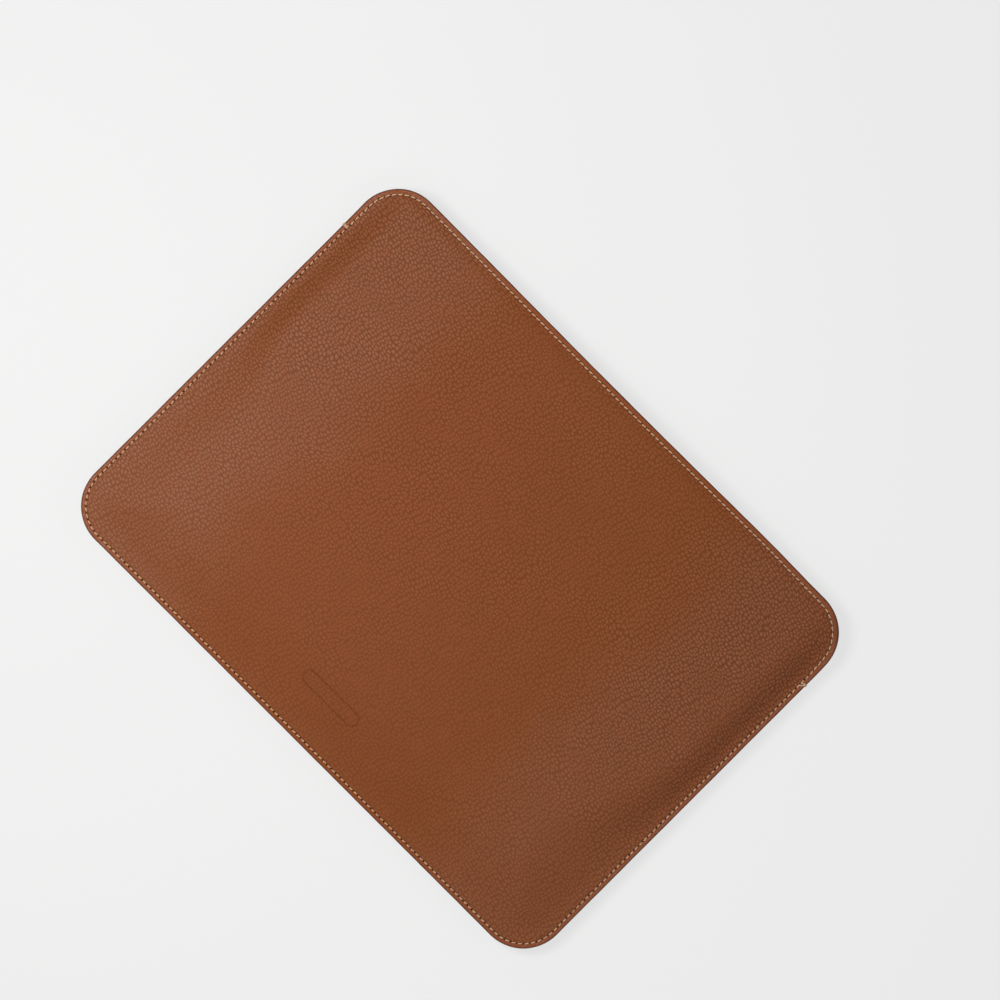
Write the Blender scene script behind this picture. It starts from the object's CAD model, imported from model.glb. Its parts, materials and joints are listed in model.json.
import json
import math

import bmesh
import bpy
import numpy as np
from mathutils import Matrix, Vector
from mathutils.kdtree import KDTree


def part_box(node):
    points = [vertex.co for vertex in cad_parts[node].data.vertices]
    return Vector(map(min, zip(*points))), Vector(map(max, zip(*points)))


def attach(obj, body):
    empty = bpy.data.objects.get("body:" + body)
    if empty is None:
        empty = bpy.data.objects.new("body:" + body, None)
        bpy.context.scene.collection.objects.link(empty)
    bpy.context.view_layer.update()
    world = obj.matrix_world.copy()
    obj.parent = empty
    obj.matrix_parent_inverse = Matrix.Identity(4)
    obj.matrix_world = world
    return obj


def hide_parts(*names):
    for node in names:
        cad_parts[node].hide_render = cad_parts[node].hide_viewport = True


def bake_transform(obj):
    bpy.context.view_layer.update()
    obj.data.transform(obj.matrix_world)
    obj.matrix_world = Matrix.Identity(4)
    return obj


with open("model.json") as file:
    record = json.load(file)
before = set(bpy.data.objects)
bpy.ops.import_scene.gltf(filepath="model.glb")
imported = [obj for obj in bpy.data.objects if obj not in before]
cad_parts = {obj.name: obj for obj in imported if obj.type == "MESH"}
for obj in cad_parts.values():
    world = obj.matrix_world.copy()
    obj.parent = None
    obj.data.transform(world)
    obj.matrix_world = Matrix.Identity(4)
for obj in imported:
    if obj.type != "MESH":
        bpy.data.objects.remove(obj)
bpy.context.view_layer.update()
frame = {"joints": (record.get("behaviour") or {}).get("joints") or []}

scene = bpy.context.scene

# ------------------------------------------------------------------ sizes, mm
# Overall sizes come from the frame; everything below works in millimetres.
lo, hi = [v * 1000.0 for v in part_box("front_leather")]
blo, bhi = [v * 1000.0 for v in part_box("back_leather")]
tlo, thi = [v * 1000.0 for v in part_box("right_bar_tack")]
llo, lhi = [v * 1000.0 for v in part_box("front_lip_leather")]
HX = hi.x                              # half length of the leather
HY = -lo.y                             # half depth of the leather
MID = (hi.z + blo.z) / 2               # mid plane, where the two panels meet
FLAT = hi.z - MID                      # leather's outer face over the laptop
TACK_Y = (tlo.y + thi.y) / 2
PIVOT = {}
for j in frame["joints"]:
    PIVOT[j["child"]] = [c * 1000.0 for c in j["pos_m"]]
FLEX_Y = PIVOT["front_lip"][1]
R = 24.0                               # corner radius in plan
LEATHER_T, PADDING_T, LINING_T, GLUE, TAPE_T = 1.4, 1.2, 0.6, 0.05, 0.25
RAMP_OUT, RAMP_IN = 3.6, 19.0
CORNER_LIFT = 5.0
ARCH = 3.5
LINING_IN = (GLUE / 2, FLAT - LEATHER_T - PADDING_T - LINING_T - 2 * GLUE)
LINING_OUT = (LINING_IN[0] + LINING_T, LINING_IN[1] + LINING_T)
PADDING_IN = (LINING_OUT[0] + GLUE, LINING_OUT[1] + GLUE)
PADDING_OUT = (LINING_OUT[0] + GLUE + PADDING_T, PADDING_IN[1] + PADDING_T)
LEATHER_IN = (LINING_OUT[0] + GLUE, FLAT - LEATHER_T)
LEATHER_OUT = (LEATHER_IN[0] + LEATHER_T, FLAT)
MOUTH_DIP = 0.81                       # leather comes down onto the tape at the mouth

# --------------------------------------------------------------- shape fields


def smooth(a, b, v):
    t = np.clip((v - a) / (b - a), 0, 1)
    return t * t * (3 - 2 * t)


def bell(v, centre, width):
    return np.exp(-(((v - centre) / width) ** 2))


def rise(s):
    low, high = 0.25, 0.5
    peak = 1 / (1 - (low + high) / 2)
    s = np.clip(s, 0, 1)
    return np.where(
        s < low,
        peak * s * s / (2 * low),
        np.where(s > 1 - high, 1 - peak * (1 - s) ** 2 / (2 * high), peak * (s - low / 2)),
    )


def inset(x, y, mouth=True):
    """Distance in from the outline; without the mouth, from the sides and bottom only."""
    cx = np.abs(x) - (HX - R)
    cy = (np.abs(y) if mouth else -y) - (HY - R)
    return R - (np.hypot(np.maximum(cx, 0), np.maximum(cy, 0)) + np.minimum(np.maximum(cx, cy), 0))


rng = np.random.default_rng(7)


def field(count, shortest, longest):
    """A smooth random field from seeded waves, about -1 to 1."""
    k = 2 * np.pi / rng.uniform(shortest, longest, count)
    a = rng.uniform(0, 2 * np.pi, count)
    p = rng.uniform(0, 2 * np.pi, count)
    kx, ky = k * np.cos(a), k * np.sin(a)
    return lambda x, y: sum(np.cos(kx[i] * x + ky[i] * y + p[i]) for i in range(count)) / math.sqrt(count)


BROAD = field(9, 55, 130)
MEDIUM = field(14, 18, 40)
SMALL = field(18, 7, 14)


def seam_inset(y):
    """The stitch line's inset: close to the edge along the seam, a little deeper round the mouth."""
    return 2.45 + 0.4 * smooth(TACK_Y, TACK_Y + 14, y)


def lift(y):
    return CORNER_LIFT * np.clip((y - TACK_Y) / (HY - TACK_Y), 0, 1) ** 1.3


def height(surface, side, x, y):
    """Height of a layer's face at x, y: flange at the seam, ramp, crowned middle."""
    u = inset(x, y, mouth=False)
    low = smooth(-15, -100, y)                     # towards the bottom, where the pocket relaxes
    slack = smooth(30 - 14 * smooth(-40, 40, x), -28 - 48 * smooth(-40, 40, x), y) * (side > 0)
    width = (RAMP_IN - RAMP_OUT) * (1.16 + 1.6 * slack)
    r = rise((u - RAMP_OUT) / width)
    base, top = surface
    h = base + lift(y) * (1 - r) + (top - base) * r
    if side > 0:
        h = h - r * 2.3 * low                      # front panel sags over the empty end
        h = h + r * (0.16 * BROAD(x, y) + 0.07 * MEDIUM(x, y)) * (1 - smooth(100, 116, y))
        bow = ARCH * np.clip((y - FLEX_Y + 8) / (HY - FLEX_Y + 8), 0, 1) ** 1.25
        h = h + r * bow * (0.5 + 0.5 * np.cos(np.pi * np.clip(x / (HX - RAMP_IN), -1, 1)))
    else:
        h = h + 4 * r * (1 - r) * 0.10 * BROAD(x, y)
    return MID + side * h


def dip(x, y):
    """How far the leather has come down onto the tape, along the mouth."""
    r = rise((inset(x, y, mouth=False) - RAMP_OUT) / (RAMP_IN - RAMP_OUT))
    return MOUTH_DIP * r * (1 - smooth(4.0, 8.4, HY - y))


# ------------------------------------------------------------ ring topologies
NX, NY, NC, FINE = 180, 120, 20, 3     # coarse columns per side and corner; fine columns per coarse one
HOLE_EVERY = 6                         # fine columns per stitch


class Outline:
    """Columns round a rounded rectangle, from its inner rectangle out to its edge."""

    def __init__(self, x0, x1, y0, y1, radius, nx, ny, nc):
        self.radius, self.nx, self.ny, self.nc = radius, nx, ny, nc
        self.x0, self.x1, self.y0, self.y1 = x0 + radius, x1 - radius, y0 + radius, y1 - radius
        px, py, ax, ay, grid = [], [], [], [], []
        xs = np.linspace(self.x0, self.x1, nx + 1)
        ys = np.linspace(self.y0, self.y1, ny + 1)
        self.xs, self.ys = xs, ys
        at = lambda i, j: j * (nx + 1) + i

        def corner(cx, cy, start, index):
            for k in range(nc):
                a = start + (k / nc) * math.pi / 2
                px.append(cx); py.append(cy); ax.append(math.cos(a)); ay.append(math.sin(a)); grid.append(index)

        # counter-clockwise from the start of the bottom edge
        for i in range(nx):
            px.append(xs[i]); py.append(self.y0); ax.append(0); ay.append(-1); grid.append(at(i, 0))
        corner(self.x1, self.y0, -math.pi / 2, at(nx, 0))
        for j in range(ny):
            px.append(self.x1); py.append(ys[j]); ax.append(1); ay.append(0); grid.append(at(nx, j))
        corner(self.x1, self.y1, 0, at(nx, ny))
        for i in range(nx):
            px.append(xs[nx - i]); py.append(self.y1); ax.append(0); ay.append(1); grid.append(at(nx - i, ny))
        corner(self.x0, self.y1, math.pi / 2, at(0, ny))
        for j in range(ny):
            px.append(self.x0); py.append(ys[ny - j]); ax.append(-1); ay.append(0); grid.append(at(0, ny - j))
        corner(self.x0, self.y0, math.pi, at(0, 0))
        self.p = np.array([px, py]).T
        self.a = np.array([ax, ay], float).T
        self.grid = np.array(grid)
        self.count = len(px)

    def at(self, column, d):
        """Plan position at a fractional column and an inset."""
        column = np.asarray(column, float) % self.count
        i = np.floor(column).astype(int) % self.count
        f = (column - np.floor(column))[..., None]
        n = (i + 1) % self.count
        ang0 = np.arctan2(self.a[i, 1], self.a[i, 0])
        ang1 = np.arctan2(self.a[n, 1], self.a[n, 0])
        turn = (ang1 - ang0 + math.pi) % (2 * math.pi) - math.pi
        ang = ang0 + turn * f[..., 0]
        p = self.p[i] * (1 - f) + self.p[n] * f
        reach = (self.radius - np.asarray(d, float))
        return p[..., 0] + np.cos(ang) * reach, p[..., 1] + np.sin(ang) * reach


class Builder:
    def __init__(self):
        self.v, self.f, self.m = [], [], []
        self.n = 0

    def add(self, x, y, z):
        pts = np.column_stack([np.ravel(x), np.ravel(y), np.ravel(z)])
        start = self.n
        self.v.append(pts)
        self.n += len(pts)
        return start + np.arange(len(pts))

    def faces(self, rows, material=0, flip=False):
        rows = np.asarray(rows)
        if flip:
            rows = rows[:, ::-1]
        self.f.append(rows)
        self.m.append(np.full(len(rows), material))

    def make(self, name, materials, smooth_all=True):
        v = np.concatenate(self.v) * 0.001
        me = bpy.data.meshes.new(name)
        loops = np.concatenate([f.ravel() for f in self.f])
        sizes = np.concatenate([np.full(len(f), f.shape[1]) for f in self.f])
        starts = np.concatenate([[0], np.cumsum(sizes)[:-1]])
        me.vertices.add(len(v))
        me.vertices.foreach_set("co", v.astype(np.float32).ravel())
        me.loops.add(len(loops))
        me.loops.foreach_set("vertex_index", loops.astype(np.int32))
        me.polygons.add(len(sizes))
        me.polygons.foreach_set("loop_start", starts.astype(np.int32))
        me.polygons.foreach_set("material_index", np.concatenate(self.m).astype(np.int32))
        me.polygons.foreach_set("use_smooth", np.full(len(sizes), smooth_all))
        me.update(calc_edges=True)
        me.validate()
        rest = me.attributes.new("rest", "FLOAT_VECTOR", "POINT")
        rest.data.foreach_set("vector", v.astype(np.float32).ravel())
        for m in materials:
            me.materials.append(m)
        ob = bpy.data.objects.new(name, me)
        scene.collection.objects.link(ob)
        return ob


def ring_quads(a, b, flip, builder, material=0):
    """Faces between two rings of equal length; a is the inner one."""
    n = len(a)
    i = np.arange(n)
    k = (i + 1) % n
    builder.faces(np.column_stack([a[i], b[i], b[k], a[k]]), material, flip)


def ring_step(a, b, factor, flip, builder, material=0):
    """Faces between a coarse ring and a ring with factor times its columns."""
    n, m = len(a), len(b)
    for j in range(factor):
        i = np.arange(n)
        near = a[i] if j < (factor + 1) // 2 else a[(i + 1) % n]
        builder.faces(np.column_stack([near, b[(i * factor + j) % m], b[(i * factor + j + 1) % m]]), material, flip)
        if j == (factor + 1) // 2 - 1:
            builder.faces(np.column_stack([a[i], b[(i * factor + j + 1) % m], a[(i + 1) % n]]), material, flip)


def face_sheet(builder, outline, z, rows, flip, fine_rows=(), material=0):
    """One face of a sheet: inner grid, coarse rings, then fine rings out to the edge. Returns the outermost ring."""
    gx, gy = np.meshgrid(outline.xs, outline.ys)
    grid = builder.add(gx, gy, z(gx.ravel(), gy.ravel(), np.full(gx.size, np.nan)))
    nx = outline.nx
    i, j = np.meshgrid(np.arange(nx), np.arange(outline.ny))
    q = (j * (nx + 1) + i).ravel()
    builder.faces(np.column_stack([grid[q], grid[q + 1], grid[q + nx + 2], grid[q + nx + 1]]), material, flip)
    cols = np.arange(outline.count)
    ring = grid[outline.grid]
    first = True
    for d in rows:
        x, y = outline.at(cols, d)
        new = builder.add(x, y, z(x, y, cols * FINE))
        if first:
            k = (cols + 1) % outline.count
            same = ring[cols] == ring[k]
            c = cols[~same]
            builder.faces(np.column_stack([ring[c], new[c], new[k[c]], ring[k[c]]]), material, flip)
            c = cols[same]
            builder.faces(np.column_stack([ring[c], new[c], new[k[c]]]), material, flip)
            first = False
        else:
            ring_quads(ring, new, flip, builder, material)
        ring = new
    if len(fine_rows):
        cols = np.arange(outline.count * FINE)
        for n, d in enumerate(fine_rows):
            x, y = outline.at(cols / FINE, d)
            new = builder.add(x, y, z(x, y, cols))
            if n == 0:
                ring_step(ring, new, FINE, flip, builder, material)
            else:
                ring_quads(ring, new, flip, builder, material)
            ring = new
    return ring


main_outline = Outline(-HX, HX, -HY, HY, R, NX, NY, NC)

# -------------------------------------------------------------- node helpers


def new_material(name):
    m = bpy.data.materials.new(name)
    m.use_nodes = True
    m.node_tree.nodes.clear()
    return m


class Graph:
    """Short hand for building a node tree."""

    def __init__(self, material):
        self.t = material.node_tree

    def node(self, kind, inputs=None, **props):
        n = self.t.nodes.new(kind)
        for k, v in props.items():
            setattr(n, k, v)
        for k, v in (inputs or {}).items():
            s = n.inputs[k]
            if isinstance(v, bpy.types.NodeSocket):
                self.t.links.new(v, s)
            else:
                s.default_value = v
        return n

    def math(self, op, a, b=None, c=None, clamp=False):
        ins = {0: a}
        if b is not None:
            ins[1] = b
        if c is not None:
            ins[2] = c
        return self.node("ShaderNodeMath", ins, operation=op, use_clamp=clamp).outputs[0]

    def vmath(self, op, a, b=None, scale=None):
        ins = {0: a}
        if b is not None:
            ins[1] = b
        if scale is not None:
            ins["Scale"] = scale
        return self.node("ShaderNodeVectorMath", ins, operation=op).outputs[0]

    def noise(self, vector, scale, detail=2.0, rough=0.5, distortion=0.0, colour=False):
        n = self.node("ShaderNodeTexNoise", {"Vector": vector, "Scale": scale, "Detail": detail, "Roughness": rough, "Distortion": distortion})
        return n.outputs["Color" if colour else "Fac"]

    def voronoi(self, vector, scale, feature="F1", randomness=1.0, smoothness=None, output="Distance", flat=False):
        n = self.node("ShaderNodeTexVoronoi", {}, feature=feature, voronoi_dimensions="2D" if flat else "3D")
        self.t.links.new(vector, n.inputs["Vector"])
        n.inputs["Scale"].default_value = scale
        n.inputs["Randomness"].default_value = randomness
        if smoothness is not None:
            n.inputs["Smoothness"].default_value = smoothness
        return n.outputs[output]

    def ramp(self, value, stops, interpolation="LINEAR"):
        n = self.node("ShaderNodeValToRGB", {"Fac": value})
        n.color_ramp.interpolation = interpolation
        e = n.color_ramp.elements
        while len(e) > 1:
            e.remove(e[0])
        e[0].position, e[0].color = stops[0][0], stops[0][1]
        for p, c in stops[1:]:
            el = e.new(p)
            el.color = c
        return n.outputs["Color"]

    def span(self, value, a, b, c=0.0, d=1.0, kind="SMOOTHSTEP"):
        return self.node("ShaderNodeMapRange", {"Value": value, "From Min": a, "From Max": b, "To Min": c, "To Max": d}, interpolation_type=kind, clamp=True).outputs[0]

    def mix(self, fac, a, b, kind="MIX"):
        n = self.node("ShaderNodeMix", data_type="RGBA", blend_type=kind)
        for s, v in ((n.inputs[0], fac), (n.inputs[6], a), (n.inputs[7], b)):
            if isinstance(v, bpy.types.NodeSocket):
                self.t.links.new(v, s)
            else:
                s.default_value = v
        return n.outputs[2]

    def rest(self):
        """Rest position in millimetres, so that grain stays put when the lips bend."""
        a = self.node("ShaderNodeAttribute", attribute_name="rest")
        return self.vmath("SCALE", a.outputs["Vector"], scale=1000.0)

    def finish(self, colour, roughness, bump=None, bump_mm=0.1, strength=1.0, **extra):
        ins = {"Base Color": colour, "Roughness": roughness}
        ins.update(extra)
        b = self.node("ShaderNodeBsdfPrincipled", ins)
        if bump is not None:
            n = self.node("ShaderNodeBump", {"Height": bump, "Distance": bump_mm * 0.001, "Strength": strength})
            self.t.links.new(n.outputs[0], b.inputs["Normal"])
        out = self.node("ShaderNodeOutputMaterial")
        self.t.links.new(b.outputs[0], out.inputs[0])
        return b


def srgb(r, g, b, k=1.0):
    c = [((v / 255 + 0.055) / 1.055) ** 2.4 if v > 10 else v / 255 / 12.92 for v in (r, g, b)]
    return (c[0] * k, c[1] * k, c[2] * k, 1.0)


# ------------------------------------------------------------------ materials


def leather_material():
    m = new_material("pebbled_leather")
    g = Graph(m)
    p = g.rest()
    # the hide's grain is drawn out unevenly, a little across the panel
    warp = g.vmath("SCALE", g.vmath("SUBTRACT", g.noise(p, 0.05, 2, 0.5, colour=True), (0.5, 0.5, 0.5)), scale=7.0)
    warp2 = g.vmath("SCALE", g.vmath("SUBTRACT", g.noise(p, 0.55, 2, 0.5, colour=True), (0.5, 0.5, 0.5)), scale=0.55)
    q = g.vmath("ADD", g.vmath("ADD", p, warp), warp2)
    q = g.node("ShaderNodeMapping", {"Vector": q, "Rotation": (0, 0, -0.26), "Scale": (1.22, 0.84, 3.3)}, vector_type="TEXTURE").outputs[0]
    parts = g.node("ShaderNodeSeparateXYZ", {"Vector": p})
    # deeper grain towards the flanks, shallow in the middle
    flank = g.span(g.math("ADD", g.math("ABSOLUTE", parts.outputs[0]), g.math("MULTIPLY", g.noise(p, 0.03, 2), 40.0)), 75.0, 150.0)
    pebble = g.math("ADD", g.math("MULTIPLY", g.span(g.voronoi(q, 0.52, "DISTANCE_TO_EDGE", 0.70, flat=True), 0.0, 0.26, kind="SMOOTHSTEP"), 0.46),
                    g.math("MULTIPLY", g.span(g.voronoi(q, 0.52, "F1", 0.70, flat=True), 0.54, 0.04, kind="SMOOTHSTEP"), 0.58))
    wrinkle = g.noise(q, 1.3, 2, 0.5)
    h = g.math("ADD", g.math("MULTIPLY", pebble, 0.95), g.math("MULTIPLY", wrinkle, 0.12))
    # pressed smooth between the stitching and the cut edge
    rim = g.node("ShaderNodeAttribute", attribute_name="inset").outputs["Fac"]
    pit = g.node("ShaderNodeAttribute", attribute_name="pit").outputs["Fac"]
    press = g.span(rim, 1.7, 3.4, 0.12, 1.0)
    deeper = g.math("MULTIPLY", flank, g.span(parts.outputs[0], -60.0, 60.0, 0.28, 0.62))
    depth = g.math("MULTIPLY", g.math("MULTIPLY", press, g.span(parts.outputs[1], -105.0, 45.0, 0.52, 0.98)), g.math("ADD", 0.68, deeper))
    hb = g.math("MULTIPLY", h, depth)
    # dye lies deeper in the creases; handling lightens the tops
    mid = srgb(121, 65, 30)
    body = g.ramp(g.math("ADD", g.math("MULTIPLY", g.math("SUBTRACT", h, 0.49), depth), 0.5), [(0.08, srgb(101, 52, 20)), (0.50, mid), (0.92, srgb(135, 75, 38))])
    mottle = g.noise(p, 0.022, 3, 0.6)
    cloud = g.noise(p, 0.12, 3, 0.5)
    body = g.mix(g.span(mottle, 0.35, 0.68, 0, 0.30), body, srgb(119, 62, 28))
    body = g.mix(g.span(cloud, 0.45, 0.75, 0, 0.14), body, srgb(140, 74, 40))
    body = g.mix(g.span(rim, 2.1, 1.6, 0, 0.75), body, srgb(134, 68, 30))
    body = g.mix(g.span(rim, 0.55, 0.15, 0, 0.85), body, srgb(84, 42, 21))
    body = g.mix(g.span(pit, 0.12, 0.75, 0, 0.92), body, srgb(44, 20, 9))
    rough = g.math("ADD", g.span(h, 0.2, 0.9, 0.68, 0.57), g.math("MULTIPLY", g.math("SUBTRACT", cloud, 0.5), 0.10))
    rough = g.math("ADD", rough, g.span(rim, 2.2, 1.2, 0, -0.10))
    # the creases hold dust and wax and stay dull; the pebbles' tops carry the sheen
    sheen = g.math("MULTIPLY", g.span(flank, 0.0, 1.0, 0.15, 0.34), g.span(h, 0.15, 0.85, 0.80, 1.26, kind="LINEAR"))
    g.finish(body, rough, hb, 0.14, 1.0, **{"IOR": 1.45, "Specular IOR Level": sheen})
    return m


def flesh_material():
    m = new_material("leather_flesh_side")
    g = Graph(m)
    p = g.rest()
    f = g.noise(g.vmath("MULTIPLY", p, (1.0, 0.5, 1.0)), 2.2, 6, 0.7)
    c = g.ramp(f, [(0.25, srgb(120, 78, 48)), (0.75, srgb(168, 122, 84))])
    g.finish(c, 0.92, f, 0.2, 0.8)
    return m


def paint_material():
    m = new_material("edge_paint")
    g = Graph(m)
    p = g.rest()
    n = g.noise(p, 0.9, 4, 0.6)
    fine = g.noise(p, 5.0, 2, 0.5)
    c = g.ramp(n, [(0.3, srgb(84, 41, 18)), (0.7, srgb(108, 55, 26))])
    layered = g.node("ShaderNodeSeparateXYZ", {"Vector": p}).outputs[2]
    lines = g.noise(g.node("ShaderNodeCombineXYZ", {"X": g.math("MULTIPLY", g.node("ShaderNodeSeparateXYZ", {"Vector": p}).outputs[0], 0.15), "Y": g.math("MULTIPLY", g.node("ShaderNodeSeparateXYZ", {"Vector": p}).outputs[1], 0.15), "Z": layered}).outputs[0], 3.0, 3, 0.5)
    h = g.math("ADD", g.math("MULTIPLY", lines, 0.7), g.math("MULTIPLY", fine, 0.3))
    g.finish(c, g.span(n, 0.3, 0.7, 0.46, 0.58), h, 0.10, 0.7, **{"Specular IOR Level": 0.35})
    return m


def lining_material():
    m = new_material("microfibre_lining")
    g = Graph(m)
    p = g.rest()
    nap = g.noise(g.vmath("MULTIPLY", p, (1.0, 0.55, 1.0)), 3.2, 5, 0.7)
    brushed = g.noise(g.vmath("MULTIPLY", p, (0.7, 0.25, 0.7)), 0.11, 3, 0.5, 1.2)
    c = g.ramp(brushed, [(0.32, srgb(140, 112, 88)), (0.5, srgb(156, 128, 102)), (0.7, srgb(170, 142, 116))])
    c = g.mix(g.span(nap, 0.35, 0.7, 0, 0.35), c, srgb(122, 95, 72))
    g.finish(c, 0.95, nap, 0.12, 0.8, **{"Sheen Weight": 0.6, "Sheen Roughness": 0.45, "Sheen Tint": srgb(190, 160, 130), "Specular IOR Level": 0.2})
    return m


def foam_material():
    m = new_material("padding_foam")
    g = Graph(m)
    p = g.rest()
    cells = g.voronoi(p, 2.4, "DISTANCE_TO_EDGE", 1.0)
    skin = g.noise(p, 0.3, 3, 0.5)
    c = g.ramp(skin, [(0.3, srgb(205, 200, 190)), (0.7, srgb(226, 222, 214))])
    c = g.mix(g.span(cells, 0.0, 0.12, 0.35, 0.0), c, srgb(160, 152, 140))
    g.finish(c, 0.9, g.span(cells, 0, 0.3), 0.15, 0.8)
    return m


def thread_material():
    m = new_material("waxed_thread")
    g = Graph(m)
    p = g.rest()
    n = g.noise(p, 2.0, 3, 0.6)
    fibre = g.noise(p, 14.0, 2, 0.6)
    c = g.ramp(n, [(0.3, srgb(186, 146, 112)), (0.7, srgb(210, 170, 134))])
    c = g.mix(g.span(fibre, 0.35, 0.7, 0.0, 0.3), c, srgb(156, 116, 84))
    g.finish(c, 0.55, fibre, 0.05, 0.7, **{"Sheen Weight": 0.25, "Specular IOR Level": 0.45})
    return m


def tape_material():
    m = new_material("woven_stay_tape")
    g = Graph(m)
    p = g.rest()
    w = g.node("ShaderNodeTexWave", {"Vector": p, "Scale": 2.0, "Distortion": 0.4}, bands_direction="X").outputs["Fac"]
    w2 = g.node("ShaderNodeTexWave", {"Vector": p, "Scale": 2.0, "Distortion": 0.4}, bands_direction="Y").outputs["Fac"]
    h = g.math("MULTIPLY", w, w2)
    c = g.ramp(h, [(0.1, srgb(170, 162, 148)), (0.8, srgb(214, 208, 196))])
    g.finish(c, 0.9, h, 0.08, 0.9)
    return m


LEATHER = leather_material()
FLESH = flesh_material()
PAINT = paint_material()
LINING = lining_material()
FOAM = foam_material()
THREAD = thread_material()
TAPE = tape_material()

# -------------------------------------------------------------------- panels
STAMP_Y, STAMP_L, STAMP_W, STAMP_LINE, STAMP_DEPTH = -94.0, 38.0, 8.0, 0.35, 0.3


def stamp_distance(x, y):
    """Distance from the centre line of the blind-stamped stadium outline."""
    r = STAMP_W / 2 - 0.3
    half = STAMP_L / 2 - 0.3 - r
    return np.abs(np.hypot(np.maximum(np.abs(x) - half, 0), y - STAMP_Y) - r)


HOLES = np.arange(0, main_outline.count * FINE, HOLE_EVERY)   # fine columns the needle went through
PITCH = 3.2


def surface_marks(x, y, cols, deep=1.0):
    """What sewing and finishing do to the leather's face, as a height to take off."""
    d = inset(x, y)
    line = seam_inset(y)
    cut = 0.20 * bell(d, line, 0.62)                                # channel the stitches pull in
    cut = cut + 0.13 * bell(d, 1.14, 0.17)                          # creased line near the edge
    cut = cut + 0.55 * np.clip((0.95 - d) / 0.95, 0, 1) ** 2        # rounded, burnished edge
    cut = cut - 0.12 * bell(d, 5.0, 1.1)                            # leather swells just inside
    if cols is not None:
        phase = (cols % HOLE_EVERY)
        phase = np.minimum(phase, HOLE_EVERY - phase) * (PITCH / HOLE_EVERY)
        phase = np.where(np.isnan(cols), 9.0, phase)
        hole = np.hypot(phase, (d - line))
        cut = cut + 0.62 * deep * np.exp(-((hole / 0.42) ** 2))
        cut = cut + 0.05 * deep * np.exp(-((phase / 0.8) ** 2)) * bell(d, line, 1.3)
    return cut


def leather_top(side):
    def z(x, y, cols):
        h = height(LEATHER_OUT, side, x, y)
        cut = dip(x, y) + surface_marks(x, y, cols)
        if side > 0:
            cut = cut + STAMP_DEPTH * np.exp(-((stamp_distance(x, y) / STAMP_LINE) ** 2) ** 1.5)
        return h - side * cut
    return z


def leather_under(side):
    def z(x, y, cols):
        return height(LEATHER_IN, side, x, y) - side * dip(x, y)
    return z


FINE_ROWS = [5.3, 4.5, 3.9, 3.5, 3.2, 2.95, 2.7, 2.45, 2.2, 1.95, 1.66, 1.42, 1.28, 1.14, 1.0, 0.72, 0.45, 0.22, 0.0]
COARSE_ROWS = [22.5, 20.5, 18.8, 17.2, 15.8, 14.4, 13.0, 11.6, 10.2, 8.9, 7.7, 6.5]


def set_inset(ob, needle=False):
    me = ob.data
    co = np.empty(len(me.vertices) * 3, np.float32)
    me.vertices.foreach_get("co", co)
    co = co.reshape(-1, 3) * 1000.0
    d = inset(co[:, 0], co[:, 1])
    a = me.attributes.get("inset") or me.attributes.new("inset", "FLOAT", "POINT")
    a.data.foreach_set("value", d.astype(np.float32))
    if needle:
        tree = KDTree(len(HOLES))
        hx, hy = main_outline.at(HOLES / FINE, seam_inset(main_outline.at(HOLES / FINE, 2.5)[1]))
        for i in range(len(HOLES)):
            tree.insert((hx[i], hy[i], 0.0), i)
        tree.balance()
        pit = np.zeros(len(co), np.float32)
        for i in np.where(np.abs(d - 2.6) < 1.9)[0]:
            pit[i] = math.exp(-((tree.find((co[i, 0], co[i, 1], 0.0))[2] / 0.55) ** 2))
        a = me.attributes.new("pit", "FLOAT", "POINT")
        a.data.foreach_set("value", pit)
    rest = me.attributes["rest"]
    rest.data.foreach_set("vector", (co * 0.001).astype(np.float32).ravel())


def leather_panel(name, side):
    b = Builder()
    flip = side < 0
    rim_top = face_sheet(b, main_outline, leather_top(side), COARSE_ROWS, flip, FINE_ROWS)
    under = Outline(-HX, HX, -HY, HY, R, NX // 2, NY // 2, NC // 2)
    inner = face_sheet(b, under, leather_under(side), [18.0, 15.5, 13.0, 10.5, 8.0, 5.0], not flip, (), 1)
    # bring the underside out to the same fine columns at the rim
    cols = np.arange(main_outline.count)
    x, y = main_outline.at(cols, 3.0)
    mid_ring = b.add(x, y, leather_under(side)(x, y, None))
    ring_step(inner, mid_ring, 2, not flip, b, 1)
    fine = np.arange(main_outline.count * FINE)
    x, y = main_outline.at(fine / FINE, 0.0)
    rim_under = b.add(x, y, leather_under(side)(x, y, None))
    ring_step(mid_ring, rim_under, FINE, not flip, b, 1)
    ring_quads(rim_top, rim_under, flip, b, 1)
    ob = b.make(name, [LEATHER, FLESH])
    if side > 0:
        refine_stamp(ob, side)
    set_inset(ob, True)
    if side > 0:
        burnish_stamp(ob)
    return ob


def burnish_stamp(ob):
    """Heat darkens the leather in the stamped line."""
    pit = ob.data.attributes["pit"].data
    for i, v in enumerate(ob.data.vertices):
        x, y = v.co.x * 1000.0, v.co.y * 1000.0
        if v.co.z * 1000.0 > MID and abs(x) < 24 and abs(y - STAMP_Y) < 10:
            pit[i].value = max(pit[i].value, 0.36 * float(bell(stamp_distance(x, y), 0.0, 0.55)))


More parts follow.
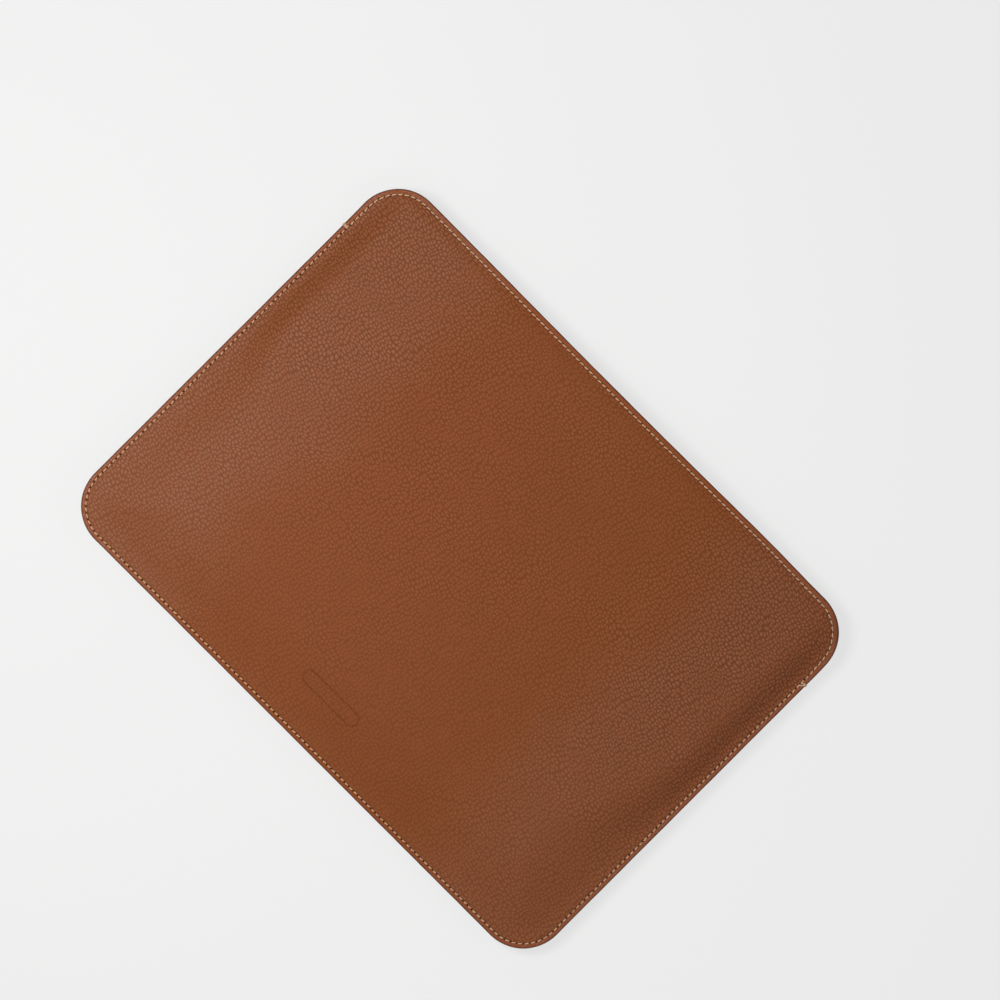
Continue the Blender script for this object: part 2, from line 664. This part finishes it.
def refine_stamp(ob, side):
    """Gives the blind-stamped line its own fine mesh."""
    bm = bmesh.new()
    bm.from_mesh(ob.data)
    for cuts in (2, 1):
        edges = set()
        reach = 2.6 if cuts == 2 else 1.0
        for f in bm.faces:
            if f.material_index == 0:
                c = f.calc_center_median() * 1000.0
                if abs(c.x) < 24 and abs(c.y - STAMP_Y) < 10 and stamp_distance(c.x, c.y) < reach:
                    edges.update(f.edges)
        bmesh.ops.subdivide_edges(bm, edges=list(edges), cuts=cuts, use_grid_fill=True)
    z = leather_top(side)
    bottom = leather_under(side)
    for v in bm.verts:
        x, y = v.co.x * 1000.0, v.co.y * 1000.0
        if abs(x) < 24 and abs(y - STAMP_Y) < 10:
            ax, ay = np.array([x]), np.array([y])
            if v.co.z * 1000.0 > bottom(ax, ay, None)[0] + 0.5:
                v.co.z = float(z(ax, ay, None)[0]) * 0.001
    bm.to_mesh(ob.data)
    bm.free()
    for p in ob.data.polygons:
        p.use_smooth = True


front_panel = leather_panel("front_leather_panel", 1)
back_panel = leather_panel("back_leather_panel", -1)


def blend_lip(ob):
    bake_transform(ob)


# --------------------------------------------------------------------- lining
LIN_ROWS = [21.0, 18.8, 17.0, 15.4, 13.8, 12.2, 10.6, 9.0, 7.4, 6.0, 4.8, 3.9, 3.3, 2.8, 2.3, 1.6, 0.8, 0.25]


def lining_face(side, surface, seen):
    def z(x, y, cols):
        h = height(surface, side, x, y)
        if seen:
            d = inset(x, y)
            free = smooth(TACK_Y, TACK_Y + 12, y)
            h = h + side * free * 0.10 * bell(d, seam_inset(y), 0.8)
            r = smooth(6, 20, d)
            h = h + side * 0.05 * r * MEDIUM(x * 1.3 + 11, y * 1.3)
        return h
    return z


def lining_panel(name, side):
    b = Builder()
    flip = side < 0
    outer = face_sheet(b, main_outline, lining_face(side, LINING_OUT, False), [18, 12, 8, 5, 2.5, 0.35], flip)
    inner = face_sheet(b, main_outline, lining_face(side, LINING_IN, True), LIN_ROWS, not flip)
    cols = np.arange(main_outline.count)
    x, y = main_outline.at(cols, 0.08)
    zo, zi = lining_face(side, LINING_OUT, False)(x, y, None), lining_face(side, LINING_IN, False)(x, y, None)
    mid_out = b.add(x, y, zo * 0.8 + zi * 0.2)
    mid_in = b.add(x, y, zo * 0.2 + zi * 0.8)
    ring_quads(outer, mid_out, flip, b)
    ring_quads(mid_out, mid_in, flip, b)
    ring_quads(mid_in, inner, flip, b)
    ob = b.make(name, [LINING])
    set_inset(ob)
    return ob


front_lining = lining_panel("front_lining_panel", 1)
back_lining = lining_panel("back_lining_panel", -1)

# -------------------------------------------------------------------- padding


def padding_sheet(name, side):
    pad = Outline(-HX + RAMP_IN + 0.4, HX - RAMP_IN - 0.4, -HY + RAMP_IN + 0.4, 113.8, 5.0, 120, 84, 6)
    b = Builder()
    flip = side < 0

    def skive(x, y):
        cx = np.maximum(np.abs(x) - (HX - RAMP_IN - 0.4 - 6), 0)
        cy = np.maximum(-y - (HY - RAMP_IN - 0.4 - 6), 0) + np.maximum(y - 107.8, 0)
        return 0.30 * np.clip(np.hypot(cx, cy) / 6, 0, 1) ** 2

    def top(x, y, cols):
        return height(PADDING_OUT, side, x, y) - side * (dip(x, y) + 0.06 + skive(x, y))

    def low(x, y, cols):
        return height(PADDING_IN, side, x, y) + side * (0.04 + skive(x, y))

    a = face_sheet(b, pad, top, [3.0, 1.2, 0.4], flip)
    c = face_sheet(b, pad, low, [3.0, 1.2, 0.4], not flip)
    cols = np.arange(pad.count)
    x, y = pad.at(cols, 0.0)
    za, zc = top(x, y, None), low(x, y, None)
    m1 = b.add(x, y, za * 0.7 + zc * 0.3)
    m2 = b.add(x, y, za * 0.3 + zc * 0.7)
    ring_quads(a, m1, flip, b)
    ring_quads(m1, m2, flip, b)
    ring_quads(m2, c, flip, b)
    return b.make(name, [FOAM])


front_pad = padding_sheet("front_padding_sheet", 1)
back_pad = padding_sheet("back_padding_sheet", -1)

# ----------------------------------------------------------------- stay tapes


def tape_strip(name, side):
    strip = Outline(-HX + R, HX - R, HY - 3.8, HY - 0.2, 0.6, 200, 3, 3)
    b = Builder()
    flip = side < 0
    at = lambda up: (lambda x, y, cols: height(LINING_OUT, side, x, y) + side * (0.12 + up + 0.015 * np.cos(x * 5) * (up > 0)))
    a = face_sheet(b, strip, at(TAPE_T), [0.3, 0.08], flip)
    c = face_sheet(b, strip, at(0.0), [0.3, 0.08], not flip)
    cols = np.arange(strip.count)
    x, y = strip.at(cols, 0.0)
    m1 = b.add(x, y, at(TAPE_T * 0.5)(x, y, None))
    ring_quads(a, m1, flip, b)
    ring_quads(m1, c, flip, b)
    return b.make(name, [TAPE])


front_tape = tape_strip("front_stay_tape", 1)
back_tape = tape_strip("back_stay_tape", -1)

# ----------------------------------------------------------------- edge bands
FC = main_outline.count * FINE
COLS = np.arange(FC)
CX, CY = main_outline.at(COLS / FINE, 0.0)


def runs(keep):
    """Start and length of the one run of kept columns round the outline."""
    starts = np.where(keep & ~np.roll(keep, 1))[0]
    s = starts[0]
    n = 0
    while keep[(s + n) % FC]:
        n += 1
    return (s + np.arange(n)) % FC


def band(name, cols, profile):
    """Sweeps a closed profile, a list of (inset, height) columns, along the outline, and caps its ends."""
    b = Builder()
    loops = []
    pts = profile(cols)
    for d, z in pts:
        x, y = main_outline.at(cols / FINE, d)
        loops.append((x, y, z))
    n, k = len(cols), len(loops)
    X = np.stack([l[0] for l in loops], 1)
    Y = np.stack([l[1] for l in loops], 1)
    Z = np.stack([l[2] for l in loops], 1)
    idx = b.add(X, Y, Z).reshape(n, k)
    for j in range(k):
        j2 = (j + 1) % k
        b.faces(np.column_stack([idx[:-1, j], idx[1:, j], idx[1:, j2], idx[:-1, j2]]))
    centre = b.add([X[0].mean(), X[-1].mean()], [Y[0].mean(), Y[-1].mean()], [Z[0].mean(), Z[-1].mean()])
    for j in range(k):
        j2 = (j + 1) % k
        b.faces([[idx[0, j], idx[0, j2], centre[0]]])
        b.faces([[idx[-1, j2], idx[-1, j], centre[1]]])
    ob = b.make(name, [PAINT])
    bm = bmesh.new()
    bm.from_mesh(ob.data)
    bmesh.ops.recalc_face_normals(bm, faces=bm.faces)
    bm.to_mesh(ob.data)
    bm.free()
    return ob


def top_at(side, cols, d, above):
    x, y = main_outline.at(cols / FINE, d)
    return leather_top(side)(x, y, None) + side * above


def seam_profile(cols):
    up = [(0.55, top_at(1, cols, 0.55, 0.02)), (0.3, top_at(1, cols, 0.3, 0.05)), (0.05, top_at(1, cols, 0.05, 0.07))]
    down = [(0.05, top_at(-1, cols, 0.05, 0.07)), (0.3, top_at(-1, cols, 0.3, 0.05)), (0.55, top_at(-1, cols, 0.55, 0.02))]
    zt, zb = up[-1][1], down[0][1]
    wob = 0.02 * np.cos(cols * 0.21) + 0.02 * np.cos(cols * 0.083 + 1)
    side = []
    for t, out in ((0.12, 0.14), (0.28, 0.21), (0.44, 0.19), (0.5, 0.10), (0.56, 0.19), (0.72, 0.21), (0.88, 0.14)):
        side.append((-(out + wob), zt * (1 - t) + zb * t))
    inner = [(0.03, zb * 0.97 + zt * 0.03), (0.03, zt * 0.5 + zb * 0.5), (0.03, zt * 0.97 + zb * 0.03)]
    return up + side + down + inner


def lip_profile(side):
    def profile(cols):
        x, y = main_outline.at(cols / FINE, 0.0)
        zin = height(LINING_IN, side, x, y)
        x5, y5 = main_outline.at(cols / FINE, 0.45)
        zin5 = height(LINING_IN, side, x5, y5)
        zt = top_at(side, cols, 0.05, 0.07)
        up = [(0.55, top_at(side, cols, 0.55, 0.02)), (0.3, top_at(side, cols, 0.3, 0.05)), (0.05, zt)]
        wob = 0.02 * np.cos(cols * 0.19 + side) + 0.02 * np.cos(cols * 0.077)
        out = [(-(o + wob), zt * (1 - t) + zin * t) for t, o in ((0.15, 0.13), (0.4, 0.21), (0.65, 0.21), (0.88, 0.12))]
        low = [(0.05, zin - side * 0.015), (0.4, zin5 - side * 0.012), (0.4, zin5 + side * 0.05), (0.06, zin + side * 0.3), (0.03, zt * 0.5 + zin * 0.5)]
        return up + out + low
    return profile


sewn = runs(CY < TACK_Y + 0.3)
free = runs(CY > TACK_Y - 0.3)
seam_band = band("seam_edge_band", sewn, seam_profile)
front_band = band("front_lip_edge_band", free, lip_profile(1))
back_band = band("back_lip_edge_band", free, lip_profile(-1))

# -------------------------------------------------------------------- stitches
SIDES_T, STEPS_T = 9, 13


def tube(b, path, radius, twist=0.0, flat=1.0, lobes=3):
    """A thread: a tube of twisted plies along path, an (n, 3) array."""
    n = len(path)
    tan = np.gradient(path, axis=0)
    tan /= np.linalg.norm(tan, axis=1)[:, None]
    up = np.array([0, 0, 1.0])
    side = np.cross(tan, up)
    bad = np.linalg.norm(side, axis=1) < 0.2
    if bad.any():
        ref = np.cross(tan.mean(0), up)
        if np.linalg.norm(ref) < 0.2:
            ref = np.array([0, 1.0, 0])
        side[bad] = ref / np.linalg.norm(ref)
    side /= np.linalg.norm(side, axis=1)[:, None]
    nor = np.cross(side, tan)
    s = np.concatenate([[0], np.cumsum(np.linalg.norm(np.diff(path, axis=0), axis=1))])
    rings = []
    for i in range(n):
        a = np.arange(SIDES_T) / SIDES_T * 2 * np.pi
        end = min(1.0, 0.45 + 0.55 * math.sin(math.pi * min(max(i / (n - 1), 0.0), 1.0)) ** 0.5)
        r = radius * end * (0.90 + 0.16 * np.abs(np.cos(lobes / 2 * (a - twist * s[i]))))
        ring = path[i] + (np.cos(a) * r)[:, None] * side[i] + (np.sin(a) * r * flat)[:, None] * nor[i]
        rings.append(b.add(ring[:, 0], ring[:, 1], ring[:, 2]))
    for i in range(n - 1):
        ring_quads(rings[i], rings[i + 1], False, b)
    ends = b.add([path[0][0], path[-1][0]], [path[0][1], path[-1][1]], [path[0][2], path[-1][2]])
    k = np.arange(SIDES_T)
    k2 = (k + 1) % SIDES_T
    b.faces(np.column_stack([rings[0][k2], rings[0][k], np.full(SIDES_T, ends[0])]), flip=True)
    b.faces(np.column_stack([rings[-1][k], rings[-1][k2], np.full(SIDES_T, ends[1])]), flip=True)


def stitch_run(name, side, holes, z_of, outward, radius, shown, slant=0.20, proud=0.20, sink=0.8):
    """Individual lockstitches from hole to hole along the stitch line; shown is the length left visible, mm."""
    b = Builder()
    jit = np.random.default_rng(11 + side + (3 if outward > 0 else 0))
    for h0 in holes:
        t = np.linspace(0, 1, STEPS_T)
        j = jit.uniform(-1, 1, 5)
        here = main_outline.at(h0 / FINE, 2.5)[1]
        long = shown(here) + 0.12 * j[3]
        turn = 1.25 * (1 - long / PITCH)
        cols = (h0 + HOLE_EVERY * (0.03 + 0.94 * t)) % FC
        d = seam_inset(here) + slant * (t - 0.5) * 2 + 0.04 * j[0]
        x, y = main_outline.at(cols / FINE, d)
        z0 = z_of(x, y)
        arc = smooth(0, turn, t) * smooth(0, turn, 1 - t)
        lift_z = -sink + (sink + proud + 0.03 * j[1]) * arc - 0.05 * (2 * t - 1) ** 2
        tube(b, np.column_stack([x, y, z0 + outward * lift_z]), radius * (1 + 0.05 * j[2]), twist=2.6)
    ob = b.make(name, [THREAD])
    bm = bmesh.new()
    bm.from_mesh(ob.data)
    bmesh.ops.recalc_face_normals(bm, faces=bm.faces)
    bm.to_mesh(ob.data)
    bm.free()
    return ob


HYS = main_outline.at(HOLES / FINE, 2.5)[1]
NEXT = main_outline.at(((HOLES + HOLE_EVERY) % FC) / FINE, 2.5)[1]
seam_holes = HOLES[np.maximum(HYS, NEXT) < TACK_Y + 0.6]
lip_holes = HOLES[np.minimum(HYS, NEXT) > TACK_Y - 2.8]
inner_holes = HOLES[np.minimum(HYS, NEXT) > FLEX_Y + 9]


def leather_level(side):
    def z(x, y):
        d = inset(x, y)
        return height(LEATHER_OUT, side, x, y) - side * (dip(x, y) + 0.20 * bell(d, seam_inset(y), 0.62))
    return z


def lining_level(side):
    return lambda x, y: lining_face(side, LINING_IN, True)(x, y, None)


def shown_length(y):
    """Pulled in short along the seam, left longer and looser round the mouth."""
    return 2.05 + 0.45 * smooth(TACK_Y - 4, TACK_Y + 14, y)


seam_front = stitch_run("seam_stitches_front", 1, seam_holes, leather_level(1), 1, 0.35, shown_length)
seam_back = stitch_run("seam_stitches_back", -1, seam_holes, leather_level(-1), -1, 0.34, shown_length)
lip_front_out = stitch_run("front_lip_stitches_outer", 1, lip_holes, leather_level(1), 1, 0.35, shown_length)
lip_back_out = stitch_run("back_lip_stitches_outer", -1, lip_holes, leather_level(-1), -1, 0.34, shown_length)
lip_front_in = stitch_run("front_lip_stitches_inner", 1, inner_holes, lining_level(1), -1, 0.26, shown_length, 0.12, 0.02, 0.45)
lip_back_in = stitch_run("back_lip_stitches_inner", -1, inner_holes, lining_level(-1), 1, 0.26, shown_length, 0.12, 0.02, 0.45)


# ------------------------------------------------------------------- bar tacks


def tack(name, sx, strands):
    """Turns of thread over the edge; each strand is where it leaves the stitch line and where it crosses the edge, in y."""
    b = Builder()
    r = 0.36
    line = float(seam_inset(TACK_Y))
    for y_in, y_out in strands:
        sea = lambda inset_mm, side: float(leather_level(side)(np.array([sx * (HX - inset_mm)]), np.array([TACK_Y]))[0])
        crown = lambda inset_mm, side: 0.5 * np.clip((0.95 - inset_mm) / 0.95, 0, 1) ** 2
        pts = []
        for k, (d, up) in enumerate(((line + 0.1, -1.0), (line, -0.1), (line - 0.4, 0.30), (1.6, 0.34), (1.0, 0.32), (0.45, 0.22))):
            pts.append((HX - d, sea(max(d, 0.0), 1) + up - crown(d, 1), min(max((line - d) / (line - 0.45), 0), 1)))
        top, low = sea(0.0, 1), sea(0.0, -1)
        pts.append((HX + 0.18, top - 0.55, 1))
        pts.append((HX + 0.34, top - 1.15, 1))
        pts.append((HX + 0.36, (top + low) / 2, 1))
        pts.append((HX + 0.34, low + 1.15, 1))
        pts.append((HX + 0.18, low + 0.55, 1))
        for k, (d, up) in enumerate(((0.45, 0.22), (1.0, 0.30), (1.6, 0.30), (line - 0.4, 0.26), (line, -0.1), (line + 0.1, -1.0))):
            pts.append((HX - d, sea(max(d, 0.0), -1) - up + crown(d, -1), 1 - 0.8 * min(max((d - 0.45) / (line - 0.45), 0), 1)))
        pts = np.array(pts)
        fine = []                                     # Catmull-Rom through the points
        for i in range(len(pts) - 1):
            p0, p1, p2, p3 = pts[max(i - 1, 0)], pts[i], pts[i + 1], pts[min(i + 2, len(pts) - 1)]
            for t in np.linspace(0, 1, 5)[:-1]:
                fine.append(0.5 * ((2 * p1) + (-p0 + p2) * t + (2 * p0 - 5 * p1 + 4 * p2 - p3) * t * t + (-p0 + 3 * p1 - 3 * p2 + p3) * t ** 3))
        fine.append(pts[-1])
        fine = np.array(fine)
        path = np.column_stack([sx * fine[:, 0], y_in + (y_out - y_in) * fine[:, 2], fine[:, 1]])
        n = len(path)
        tan = np.gradient(path, axis=0)
        tan /= np.linalg.norm(tan, axis=1)[:, None]
        side_v = np.tile([0, 1.0, 0], (n, 1))
        side_v = side_v - (side_v * tan).sum(1)[:, None] * tan
        side_v /= np.linalg.norm(side_v, axis=1)[:, None]
        nor = np.cross(side_v, tan)
        s = np.concatenate([[0], np.cumsum(np.linalg.norm(np.diff(path, axis=0), axis=1))])
        rings = []
        for i in range(n):
            a = np.arange(12) / 12 * 2 * np.pi
            rr = r * (0.90 + 0.16 * np.abs(np.cos(1.5 * (a - 2.4 * s[i]))))
            ring = path[i] + (np.cos(a) * rr)[:, None] * side_v[i] + (np.sin(a) * rr)[:, None] * nor[i]
            rings.append(b.add(ring[:, 0], ring[:, 1], ring[:, 2]))
        for i in range(n - 1):
            ring_quads(rings[i], rings[i + 1], False, b)
        ends = b.add([path[0][0], path[-1][0]], [path[0][1], path[-1][1]], [path[0][2], path[-1][2]])
        k = np.arange(12)
        k2 = (k + 1) % 12
        b.faces(np.column_stack([rings[0][k2], rings[0][k], np.full(12, ends[0])]), flip=True)
        b.faces(np.column_stack([rings[-1][k], rings[-1][k2], np.full(12, ends[1])]), flip=True)
    ob = b.make(name, [THREAD])
    bm = bmesh.new()
    bm.from_mesh(ob.data)
    bmesh.ops.recalc_face_normals(bm, faces=bm.faces)
    bm.to_mesh(ob.data)
    bm.free()
    return ob


left_tack = tack("left_tack_wrap", -1, ((TACK_Y - 0.45, TACK_Y - 0.34), (TACK_Y + 0.30, TACK_Y + 0.36)))
right_tack = tack("right_tack_wrap", 1, ((TACK_Y - 2.3, TACK_Y - 0.36), (TACK_Y - 0.55, TACK_Y + 0.36)))

# the front lip curls up over what it covers, which draws its outline in a little
for ob in (front_panel, front_lining, front_pad, front_tape, front_band, lip_front_out, lip_front_in):
    me = ob.data
    co = np.empty(len(me.vertices) * 3, np.float32)
    me.vertices.foreach_get("co", co)
    co = co.reshape(-1, 3) * 1000.0
    x, y = co[:, 0].copy(), co[:, 1].copy()
    w = smooth(TACK_Y + 3, HY, y)
    co[:, 0] -= 1.3 * w * smooth(95, 166, x)
    co[:, 1] -= w * (0.9 * (0.5 + 0.5 * np.cos(np.pi * np.clip(x / 150, -1, 1))) + 0.9 * smooth(95, 150, x))
    me.vertices.foreach_set("co", (co * 0.001).astype(np.float32).ravel())
    me.update()

# ------------------------------------------------------ bodies, slots, bending
blend_lip(front_panel)
blend_lip(back_panel)
blend_lip(front_lining)
blend_lip(back_lining)
blend_lip(front_pad)
blend_lip(back_pad)
blend_lip(front_band)
blend_lip(back_band)
blend_lip(lip_front_out)
blend_lip(lip_back_out)
blend_lip(lip_front_in)
blend_lip(lip_back_in)
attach(seam_band, "sleeve")
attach(seam_front, "sleeve")
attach(seam_back, "sleeve")
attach(left_tack, "sleeve")
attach(right_tack, "sleeve")
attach(front_tape, "front_lip")
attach(back_tape, "back_lip")

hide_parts("front_leather", "front_lip_leather")
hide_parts("back_leather", "back_lip_leather")
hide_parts("front_lining", "front_lip_lining")
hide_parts("back_lining", "back_lip_lining")
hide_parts("front_padding", "front_lip_padding")
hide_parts("back_padding", "back_lip_padding")
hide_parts("seam_edge_paint")
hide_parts("front_lip_edge_paint")
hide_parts("back_lip_edge_paint")
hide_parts("seam_needle_thread")
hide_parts("seam_bobbin_thread")
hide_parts("front_lip_needle_thread")
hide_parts("back_lip_needle_thread")
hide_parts("front_lip_bobbin_thread")
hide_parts("back_lip_bobbin_thread")
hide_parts("left_bar_tack")
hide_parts("right_bar_tack")
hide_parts("front_mouth_tape")
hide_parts("back_mouth_tape")

# ------------------------------------------------------------ floor and light
floor_mat = new_material("studio_floor")
g = Graph(floor_mat)
geo = g.node("ShaderNodeNewGeometry").outputs["Position"]
speck = g.noise(geo, 90.0, 2, 0.5)
floor_bsdf = g.node("ShaderNodeBsdfPrincipled", {"Base Color": (0.72, 0.72, 0.72, 1), "Roughness": 0.9, "Specular IOR Level": 0.15})
# the floor fades evenly into the backdrop away from the sleeve
away = g.node("ShaderNodeVectorMath", {0: geo}, operation="LENGTH").outputs["Value"]
glow = g.node("ShaderNodeEmission", {"Color": (1, 1, 1, 1), "Strength": g.span(away, 0.4, 2.2, 0.888, 0.862)})
mixer = g.node("ShaderNodeMixShader", {0: g.span(away, 0.35, 2.2, 0.78, 1.0)})
g.t.links.new(floor_bsdf.outputs[0], mixer.inputs[1])
g.t.links.new(glow.outputs[0], mixer.inputs[2])
ray = g.node("ShaderNodeLightPath").outputs["Is Camera Ray"]
pick = g.node("ShaderNodeMixShader", {0: ray})
g.t.links.new(floor_bsdf.outputs[0], pick.inputs[1])
g.t.links.new(mixer.outputs[0], pick.inputs[2])
g.t.links.new(pick.outputs[0], g.node("ShaderNodeOutputMaterial").inputs[0])
bpy.ops.mesh.primitive_plane_add(size=14, location=(0, 0, -0.0002))
floor = bpy.context.object
floor.name = "studio_floor"
floor.data.materials.append(floor_mat)

world = bpy.data.worlds.new("studio")
scene.world = world
world.use_nodes = True
bg = world.node_tree.nodes["Background"]
bg.inputs["Color"].default_value = (0.86, 0.86, 0.87, 1)
bg.inputs["Strength"].default_value = 0.31
sky = world.node_tree.nodes.new("ShaderNodeBackground")
sky.inputs["Color"].default_value = (0.862, 0.862, 0.862, 1)
sky.inputs["Strength"].default_value = 1.0
seen = world.node_tree.nodes.new("ShaderNodeLightPath")
blend = world.node_tree.nodes.new("ShaderNodeMixShader")
world.node_tree.links.new(seen.outputs["Is Camera Ray"], blend.inputs[0])
world.node_tree.links.new(bg.outputs[0], blend.inputs[1])
world.node_tree.links.new(sky.outputs[0], blend.inputs[2])
world.node_tree.links.new(blend.outputs[0], world.node_tree.nodes["World Output"].inputs[0])


def area(name, location, target, size, power, colour=(1, 1, 1)):
    data = bpy.data.lights.new(name, "AREA")
    data.shape = "RECTANGLE"
    data.size, data.size_y = size
    data.energy = power
    data.color = colour
    ob = bpy.data.objects.new(name, data)
    scene.collection.objects.link(ob)
    ob.location = location
    ob.rotation_euler = (Vector(target) - Vector(location)).to_track_quat("-Z", "Y").to_euler()
    return ob


right, up = Vector((1, 1, 0)).normalized(), Vector((-1, 1, 0)).normalized()


def at(across, high, z):
    return right * across + up * high + Vector((0, 0, z))


area("key_softbox", at(-0.30, 0.15, 0.80), at(-0.20, 0.10, 0.0), (0.26, 0.36), 6.3, (1.0, 0.99, 0.975))
area("low_softbox", at(-0.1, -1.25, 1.7), at(0, 0, 0), (1.0, 0.8), 3.0)
area("right_fill", at(1.4, -0.5, 1.05), at(0, 0, 0), (1.0, 1.0), 4.0)

# --------------------------------------------------------------------- camera
MM_WIDE = 514.6                       # width of the frame at the sleeve, mm
DISTANCE = 1.75
aim = right * 0.01868 + up * 0.03535 + Vector((0.0010, 0.00135, 0))
cam_data = bpy.data.cameras.new("camera")
cam = bpy.data.objects.new("camera", cam_data)
scene.collection.objects.link(cam)
cam_data.sensor_width = 36
cam_data.lens = 36 * DISTANCE * 1000 / MM_WIDE
cam.location = aim + Vector((0, 0, DISTANCE + 0.012))
cam.rotation_euler = Matrix((right, up, Vector((0, 0, 1)))).transposed().to_euler()
cam_data.clip_start, cam_data.clip_end = 0.01, 100
scene.camera = cam
scene.view_settings.view_transform = "Standard"
scene.view_settings.look = "None"
